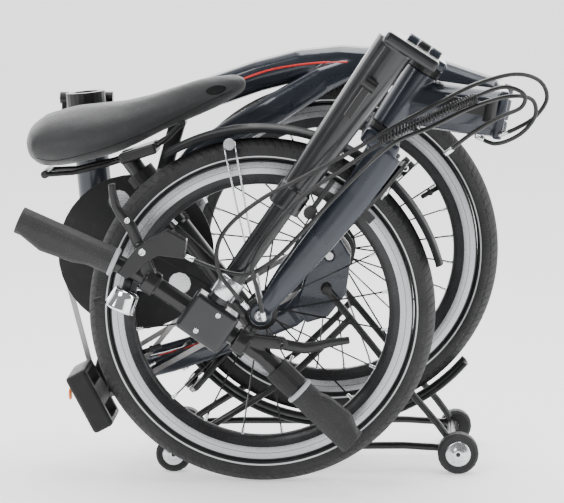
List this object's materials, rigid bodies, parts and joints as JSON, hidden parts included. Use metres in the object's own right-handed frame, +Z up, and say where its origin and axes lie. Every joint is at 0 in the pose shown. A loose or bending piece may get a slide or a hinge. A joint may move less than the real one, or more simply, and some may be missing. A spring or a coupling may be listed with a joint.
{
  "type": "folding bicycle",
  "caption": "Small-wheel folding bicycle, folded and standing on its rack rollers, with hinged frame, swinging rear triangle, folding handlepost, stowed seatpost, wheels, brakes and pedals.",
  "frame": {"origin": "bottom centre of the whole folded bicycle's box, on the ground", "axes": "+X to the right seen from the drive side of the folded bicycle, along the wheels; +Y across the bicycle, away from the folded handlebar; +Z up"},
  "size_m": [0.6252, 0.4416, 0.5477],
  "materials": {
    "frame_paint": "satin",
    "black_metal": "satin",
    "steel": "satin",
    "chain_steel": "satin",
    "black_plastic": "matte",
    "cable_housing": "satin",
    "saddle_cover": "matte",
    "rim_alloy": "satin",
    "tyre_rubber": "matte",
    "grip_rubber": "matte",
    "bell_chrome": "polished",
    "roller_rubber": "matte"
  },
  "bodies": {
    "main_frame": {"main_frame": "frame_paint", "main_hinge_pin": "steel", "seat_clamp": "black_metal", "seatpost_holder": "black_plastic", "front_chain": "chain_steel"},
    "seat_clamp_lever": {"seat_clamp_lever": "black_metal"},
    "crank": {"crank_axle": "steel", "chainring": "steel", "chain_guard": "black_plastic", "right_crank": "black_metal", "left_crank": "black_metal"},
    "right_pedal": {"right_pedal": "black_plastic"},
    "left_pedal": {"left_pedal": "black_plastic"},
    "chain_idler": {"chain_idler": "black_plastic"},
    "seatpost": {"seatpost": "black_metal", "saddle": "saddle_cover", "saddle_base": "black_metal"},
    "front_frame": {"front_frame": "frame_paint"},
    "hinge_latch": {"hinge_latch": "black_metal"},
    "fork": {"fork": "frame_paint", "headset_lower": "black_metal", "headset_upper": "black_metal", "front_fender": "black_plastic", "front_axle": "steel"},
    "front_brake_arm_near": {"front_brake_arm_near": "black_metal"},
    "front_brake_arm_far": {"front_brake_arm_far": "black_metal"},
    "front_wheel": {"front_tyre": "tyre_rubber", "front_rim": "rim_alloy", "front_hub": "black_metal"},
    "handlepost": {"handlepost": "black_metal", "front_brake_cable": "cable_housing", "rear_brake_cable": "cable_housing", "shift_cable": "cable_housing"},
    "handlepost_latch": {"handlepost_latch": "black_metal"},
    "post_clamp_lever": {"post_clamp_lever": "black_metal"},
    "inner_post": {"inner_post": "black_metal"},
    "handlebar": {"stem": "black_metal", "handlebar": "black_metal", "left_grip": "grip_rubber", "right_grip": "grip_rubber", "bell": "bell_chrome"},
    "bell_lever": {"bell_lever": "black_plastic"},
    "twist_shifter": {"twist_shifter": "black_plastic"},
    "left_brake_lever": {"left_brake_lever": "black_metal"},
    "right_brake_lever": {"right_brake_lever": "black_metal"},
    "rear_triangle": {"rear_stays": "frame_paint", "rear_rack": "black_metal", "rear_fender": "black_plastic", "rear_axle": "steel", "rear_chain": "chain_steel"},
    "rear_brake_arm_near": {"rear_brake_arm_near": "black_metal"},
    "rear_brake_arm_far": {"rear_brake_arm_far": "black_metal"},
    "rear_wheel": {"rear_tyre": "tyre_rubber", "rear_rim": "rim_alloy", "rear_hub": "black_metal", "rear_sprocket": "steel"},
    "roller_near_right": {"roller_near_right": "roller_rubber"},
    "roller_near_left": {"roller_near_left": "roller_rubber"},
    "roller_far_right": {"roller_far_right": "roller_rubber"},
    "roller_far_left": {"roller_far_left": "roller_rubber"}
  },
  "joints": [
    {"name": "main_hinge", "type": "hinge", "parent": "main_frame", "child": "front_frame", "pos_m": [0.26328, -0.02723, 0.443], "axis": [0.1736, 0, 0.9848], "range_deg": [0, 180]},
    {"name": "hinge_latch_turn", "type": "hinge", "parent": "front_frame", "child": "hinge_latch", "pos_m": [0.24445, -0.13623, 0.4514], "axis": [0.1736, 0, 0.9848], "range_deg": [0, 110]},
    {"name": "steering", "type": "hinge", "parent": "front_frame", "child": "fork", "pos_m": [0.11828, -0.10223, 0.422], "axis": [0.5373, 0, 0.8434], "range_deg": [0, 6]},
    {"name": "front_wheel_spin", "type": "hinge", "parent": "fork", "child": "front_wheel", "pos_m": [-0.02532, -0.10223, 0.2075], "axis": [0, 1, 0], "continuous": true},
    {"name": "front_brake_near", "type": "hinge", "parent": "fork", "child": "front_brake_arm_near", "pos_m": [0.1447, -0.10223, 0.38112], "axis": [0.7145, 0, -0.6997], "range_deg": [0, 1.8]},
    {"name": "front_brake_far", "type": "hinge", "parent": "fork", "child": "front_brake_arm_far", "pos_m": [0.1447, -0.10223, 0.38112], "axis": [-0.7145, 0, 0.6997], "range_deg": [0, 1.8]},
    {"name": "handlepost_fold", "type": "hinge", "parent": "fork", "child": "handlepost", "pos_m": [0.16554, -0.14223, 0.5241], "axis": [-0.8434, 0, 0.5373], "range_deg": [0, 180], "deforming": ["front_brake_cable", "rear_brake_cable", "shift_cable"]},
    {"name": "handlepost_latch_turn", "type": "hinge", "parent": "handlepost", "child": "handlepost_latch", "pos_m": [0.10396, -0.21323, 0.48702], "axis": [-0.8229, 0, 0.5682], "range_deg": [0, 120]},
    {"name": "post_clamp_turn", "type": "hinge", "parent": "handlepost", "child": "post_clamp_lever", "pos_m": [0.03463, -0.18223, 0.33559], "axis": [0, 1, 0], "range_deg": [0, 120]},
    {"name": "post_slide", "type": "slide", "parent": "handlepost", "child": "inner_post", "axis": [-0.5682, 0, -0.8229], "range_m": [-0.05, 0.08]},
    {"name": "handlebar_turn", "type": "hinge", "parent": "inner_post", "child": "handlebar", "pos_m": [-0.08867, -0.18223, 0.20807], "axis": [0.5682, 0, 0.8229], "range_deg": [0, 90]},
    {"name": "left_brake_pull", "type": "hinge", "parent": "handlebar", "child": "left_brake_lever", "pos_m": [-0.16372, -0.18223, 0.29], "axis": [0, -1, 0], "range_deg": [0, 20], "stiffness_Nm_per_rad": 0.3},
    {"name": "right_brake_pull", "type": "hinge", "parent": "handlebar", "child": "right_brake_lever", "pos_m": [0.00028, -0.18223, 0.181], "axis": [0, 1, 0], "range_deg": [0, 20], "stiffness_Nm_per_rad": 0.3},
    {"name": "bell_ring", "type": "hinge", "parent": "handlebar", "child": "bell_lever", "pos_m": [-0.20772, -0.18223, 0.232], "axis": [0, 1, 0], "range_deg": [0, 15], "stiffness_Nm_per_rad": 0.02},
    {"name": "gear_twist", "type": "hinge", "parent": "handlebar", "child": "twist_shifter", "pos_m": [0.00692, -0.18223, 0.13928], "axis": [0.7168, 0, -0.6973], "range_deg": [0, 60]},
    {"name": "seat_clamp_turn", "type": "hinge", "parent": "main_frame", "child": "seat_clamp_lever", "pos_m": [-0.28072, 0.07777, 0.446], "axis": [1, 0, 0], "range_deg": [0, 120]},
    {"name": "seatpost_slide", "type": "slide", "parent": "main_frame", "child": "seatpost", "axis": [-0.6036, 0, 0.7973], "range_m": [0, 0.2]},
    {"name": "crank_turn", "type": "hinge", "parent": "main_frame", "child": "crank", "pos_m": [-0.18472, -0.02723, 0.264], "axis": [0, 1, 0], "range_deg": [0, 55]},
    {"name": "right_pedal_turn", "type": "hinge", "parent": "crank", "child": "right_pedal", "pos_m": [-0.23172, -0.08423, 0.098], "axis": [0, 1, 0], "range_deg": [-8, 8]},
    {"name": "left_pedal_spin", "type": "hinge", "parent": "crank", "child": "left_pedal", "pos_m": [-0.13772, 0.17777, 0.43], "axis": [0, 1, 0], "continuous": true},
    {"name": "rear_fold", "type": "hinge", "parent": "main_frame", "child": "rear_triangle", "pos_m": [-0.21972, 0.04777, 0.103], "axis": [0, 1, 0], "range_deg": [0, 231]},
    {"name": "idler_spin", "type": "hinge", "parent": "rear_triangle", "child": "chain_idler", "pos_m": [-0.21972, -0.00323, 0.103], "axis": [0, 1, 0], "range_deg": [0, 346]},
    {"name": "rear_wheel_spin", "type": "hinge", "parent": "rear_triangle", "child": "rear_wheel", "pos_m": [0.05298, 0.04777, 0.262], "axis": [0, 1, 0], "continuous": true},
    {"name": "rear_brake_near", "type": "hinge", "parent": "rear_triangle", "child": "rear_brake_arm_near", "pos_m": [-0.11885, 0.04777, 0.09017], "axis": [-0.7071, 0, 0.7071], "range_deg": [0, 1.8]},
    {"name": "rear_brake_far", "type": "hinge", "parent": "rear_triangle", "child": "rear_brake_arm_far", "pos_m": [-0.11885, 0.04777, 0.09017], "axis": [0.7071, 0, -0.7071], "range_deg": [0, 1.8]},
    {"name": "roller_near_right_spin", "type": "hinge", "parent": "rear_triangle", "child": "roller_near_right", "pos_m": [0.21128, -0.05223, 0.025], "axis": [0, 1, 0], "continuous": true},
    {"name": "roller_near_left_spin", "type": "hinge", "parent": "rear_triangle", "child": "roller_near_left", "pos_m": [-0.13572, -0.05223, 0.022], "axis": [0, 1, 0], "continuous": true},
    {"name": "roller_far_right_spin", "type": "hinge", "parent": "rear_triangle", "child": "roller_far_right", "pos_m": [0.21128, 0.14777, 0.02], "axis": [0, 1, 0], "continuous": true},
    {"name": "roller_far_left_spin", "type": "hinge", "parent": "rear_triangle", "child": "roller_far_left", "pos_m": [-0.13572, 0.14777, 0.02], "axis": [0, 1, 0], "continuous": true}
  ],
  "couplings": [
    {"joint": "front_brake_near", "follows": "right_brake_pull", "ratio": 0.09},
    {"joint": "front_brake_far", "follows": "right_brake_pull", "ratio": 0.09},
    {"joint": "rear_brake_near", "follows": "left_brake_pull", "ratio": 0.09},
    {"joint": "rear_brake_far", "follows": "left_brake_pull", "ratio": 0.09},
    {"joint": "handlebar_turn", "follows": "handlepost_fold", "ratio": 0.5},
    {"joint": "idler_spin", "follows": "crank_turn", "ratio": 6.2857}
  ]
}
